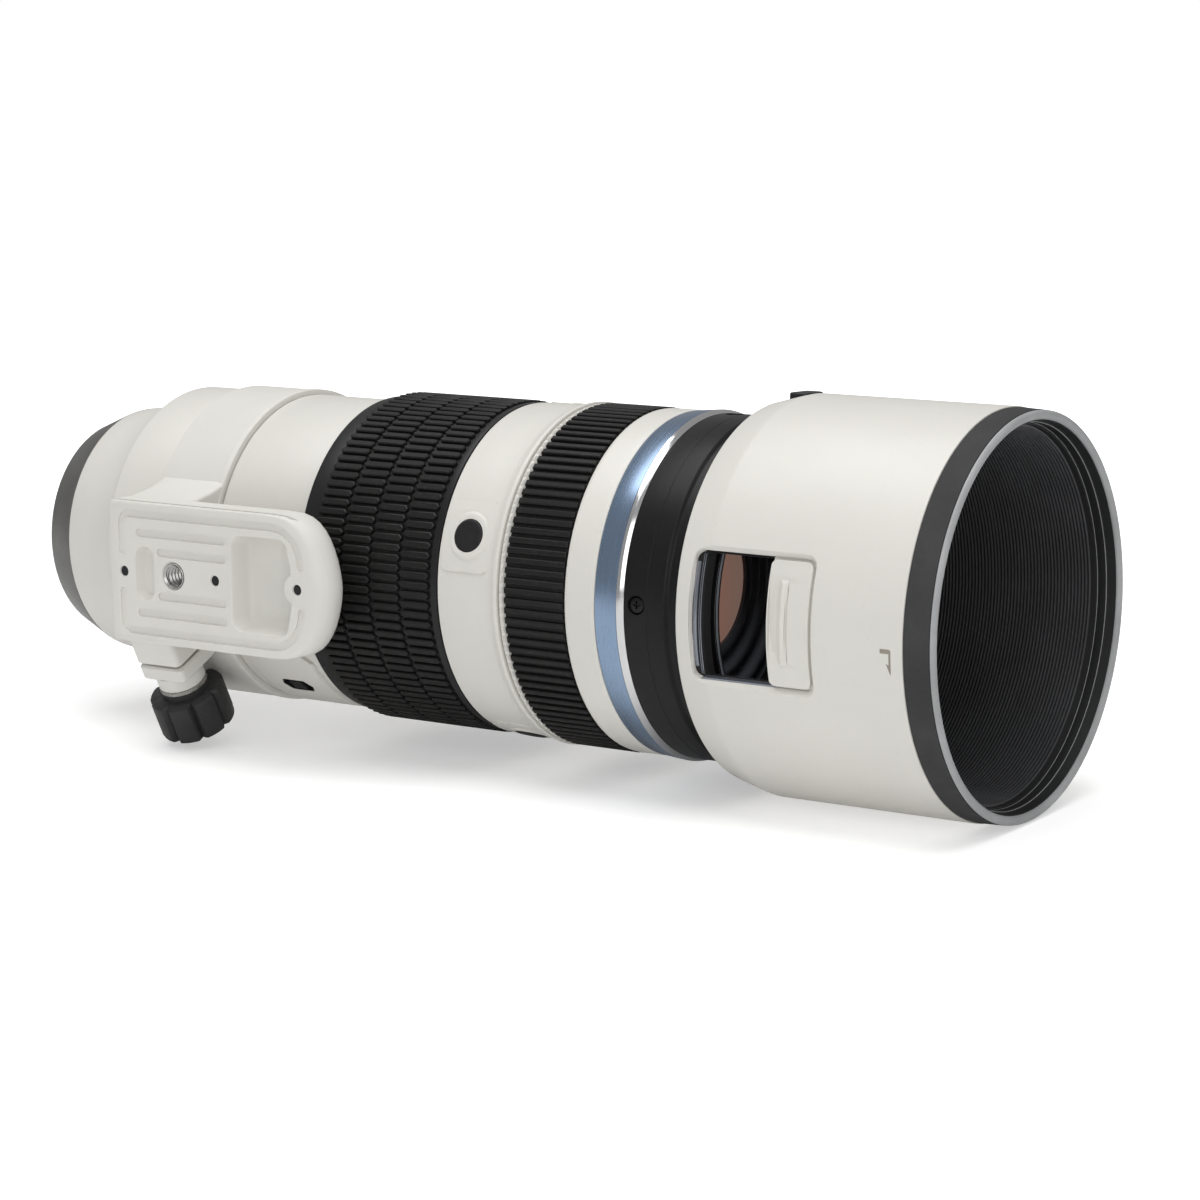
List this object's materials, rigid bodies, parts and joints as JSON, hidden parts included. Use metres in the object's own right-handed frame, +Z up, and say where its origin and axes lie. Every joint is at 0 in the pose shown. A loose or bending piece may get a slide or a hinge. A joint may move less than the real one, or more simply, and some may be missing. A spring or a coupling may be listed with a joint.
{
  "type": "camera zoom lens",
  "caption": "Telephoto camera zoom lens with ribbed zoom and focus rings, rotating tripod collar with dovetail foot, and a hood with a sliding filter window.",
  "frame": {"origin": "centre of the bayonet mount's flange face, on the optical axis", "axes": "+X along the optical axis towards the front, -Y out of the tripod foot's base, +Z up with the lens lying on its left side"},
  "size_m": [0.3002, 0.1116, 0.1036],
  "materials": {
    "mount_metal": "satin",
    "screw_steel": "machined",
    "gold_contact": "polished",
    "black_plastic": "matt",
    "seal_rubber": "matt",
    "dark_ring": "satin",
    "white_shell": "satin paint",
    "white_casting": "fine crinkle paint",
    "inner_metal": "black anodised",
    "blue_metal": "anodised",
    "polished_metal": "polished",
    "black_metal": "satin black",
    "coated_glass": "coated",
    "board": "varnished",
    "grip_rubber": "matt",
    "button_rubber": "matt",
    "rim_rubber": "matt",
    "lip_metal": "satin grey",
    "black_lining": "flocked matt"
  },
  "bodies": {
    "barrel": {"bayonet_mount": "mount_metal", "mount_screws": "screw_steel", "contact_block": "black_plastic", "contact_pins": "gold_contact", "mount_seal": "seal_rubber", "mount_cover": "dark_ring", "rear_shell": "white_shell", "main_tube": "inner_metal", "switch_shell": "white_shell", "function_shell": "white_shell", "front_shell": "white_shell", "blue_ring": "blue_metal", "silver_ring": "polished_metal", "front_barrel": "black_metal", "barrel_screws": "black_metal", "front_cell": "black_plastic", "front_element": "coated_glass", "front_retainer": "black_metal", "circuit_board": "board", "focus_motor": "inner_metal", "guide_rods": "screw_steel", "rod_plate": "inner_metal", "rear_cell": "black_plastic", "rear_element": "coated_glass", "iris_housing": "black_plastic", "iris_blades": "black_metal", "stabiliser_frame": "inner_metal"},
    "zoom": {"zoom_ring": "black_plastic", "zoom_grip": "grip_rubber", "cam_tube": "inner_metal"},
    "variator": {"variator_cell": "black_plastic", "variator_element": "coated_glass"},
    "compensator": {"compensator_cell": "black_plastic", "compensator_element": "coated_glass"},
    "focus_hand_ring": {"focus_ring": "white_shell", "focus_grip": "grip_rubber"},
    "focus_group": {"focus_cell": "black_plastic", "focus_element": "coated_glass"},
    "iris_drive": {"iris_drive_ring": "inner_metal"},
    "stabiliser_side": {"stabiliser_carrier": "inner_metal"},
    "stabiliser_lens": {"stabiliser_cell": "black_plastic", "stabiliser_element": "coated_glass"},
    "focus_mode_switch": {"focus_mode_slider": "black_plastic"},
    "focus_limit_switch": {"focus_limit_slider": "black_plastic"},
    "stabiliser_switch": {"stabiliser_slider": "black_plastic"},
    "function_key_1": {"function_button_1": "button_rubber"},
    "function_key_2": {"function_button_2": "button_rubber"},
    "function_key_3": {"function_button_3": "button_rubber"},
    "function_key_4": {"function_button_4": "button_rubber"},
    "collar": {"tripod_collar": "white_casting", "thread_insert": "screw_steel", "clamp_washer": "screw_steel"},
    "clamp": {"clamp_screw": "screw_steel", "clamp_knob": "black_plastic"},
    "hood": {"hood_shell": "white_shell", "hood_rim": "rim_rubber", "hood_lip": "lip_metal", "hood_lining": "black_lining"},
    "hood_window_door": {"hood_door": "white_shell"},
    "hood_catch": {"hood_release": "black_plastic"}
  },
  "joints": [
    {"name": "zoom_turn", "type": "hinge", "parent": "barrel", "child": "zoom", "pos_m": [0.123, 0, 0], "axis": [1, 0, 0], "range_deg": [0, 80]},
    {"name": "variator_slide", "type": "slide", "parent": "barrel", "child": "variator", "axis": [1, 0, 0], "range_m": [-0.03, 0]},
    {"name": "compensator_slide", "type": "slide", "parent": "barrel", "child": "compensator", "axis": [1, 0, 0], "range_m": [0, 0.012]},
    {"name": "focus_turn", "type": "hinge", "parent": "barrel", "child": "focus_hand_ring", "pos_m": [0.1765, 0, 0], "axis": [1, 0, 0], "continuous": true},
    {"name": "focus_slide", "type": "slide", "parent": "barrel", "child": "focus_group", "axis": [1, 0, 0], "range_m": [-0.006, 0.006]},
    {"name": "iris_turn", "type": "hinge", "parent": "barrel", "child": "iris_drive", "pos_m": [0.087, 0, 0], "axis": [1, 0, 0], "range_deg": [0, 60]},
    {"name": "stabiliser_shift_side", "type": "slide", "parent": "barrel", "child": "stabiliser_side", "axis": [0, 1, 0], "range_m": [-0.001, 0.001], "stiffness_N_per_m": 900},
    {"name": "stabiliser_shift_up", "type": "slide", "parent": "stabiliser_side", "child": "stabiliser_lens", "axis": [0, 0, 1], "range_m": [-0.001, 0.001], "stiffness_N_per_m": 900},
    {"name": "focus_mode_slide", "type": "slide", "parent": "barrel", "child": "focus_mode_switch", "axis": [1, 0, 0], "range_m": [-0.0015, 0.0015]},
    {"name": "focus_limit_slide", "type": "slide", "parent": "barrel", "child": "focus_limit_switch", "axis": [1, 0, 0], "range_m": [-0.0015, 0.0015]},
    {"name": "stabiliser_switch_slide", "type": "slide", "parent": "barrel", "child": "stabiliser_switch", "axis": [1, 0, 0], "range_m": [-0.0015, 0.0015]},
    {"name": "function_press_1", "type": "slide", "parent": "barrel", "child": "function_key_1", "axis": [0, 0.9397, -0.342], "range_m": [0, 0.0007], "stiffness_N_per_m": 800, "springref_m": -0.0005},
    {"name": "function_press_2", "type": "slide", "parent": "barrel", "child": "function_key_2", "axis": [0, -0.342, -0.9397], "range_m": [0, 0.0007], "stiffness_N_per_m": 800, "springref_m": -0.0005},
    {"name": "function_press_3", "type": "slide", "parent": "barrel", "child": "function_key_3", "axis": [0, -0.9397, 0.342], "range_m": [0, 0.0007], "stiffness_N_per_m": 800, "springref_m": -0.0005},
    {"name": "function_press_4", "type": "slide", "parent": "barrel", "child": "function_key_4", "axis": [0, 0.342, 0.9397], "range_m": [0, 0.0007], "stiffness_N_per_m": 800, "springref_m": -0.0005},
    {"name": "collar_turn", "type": "hinge", "parent": "barrel", "child": "collar", "pos_m": [0.0595, 0, 0], "axis": [1, 0, 0], "continuous": true},
    {"name": "clamp_turn", "type": "hinge", "parent": "collar", "child": "clamp", "pos_m": [0.057, -0.04638, -0.02262], "axis": [0, 0.4384, -0.8988], "range_deg": [0, 720]},
    {"name": "hood_turn", "type": "hinge", "parent": "barrel", "child": "hood", "pos_m": [0.2258, 0, 0], "axis": [1, 0, 0], "range_deg": [-35, 0]},
    {"name": "hood_door_slide", "type": "slide", "parent": "hood", "child": "hood_window_door", "axis": [1, 0, 0], "range_m": [-0.0194, 0]},
    {"name": "hood_release_press", "type": "slide", "parent": "hood", "child": "hood_catch", "axis": [0, -0.0523, -0.9986], "range_m": [0, 0.0008], "stiffness_N_per_m": 1200, "springref_m": -0.0006}
  ],
  "couplings": [
    {"joint": "variator_slide", "follows": "zoom_turn", "m_per_rad": -0.021486},
    {"joint": "compensator_slide", "follows": "zoom_turn", "m_per_rad": 0.0085944}
  ]
}
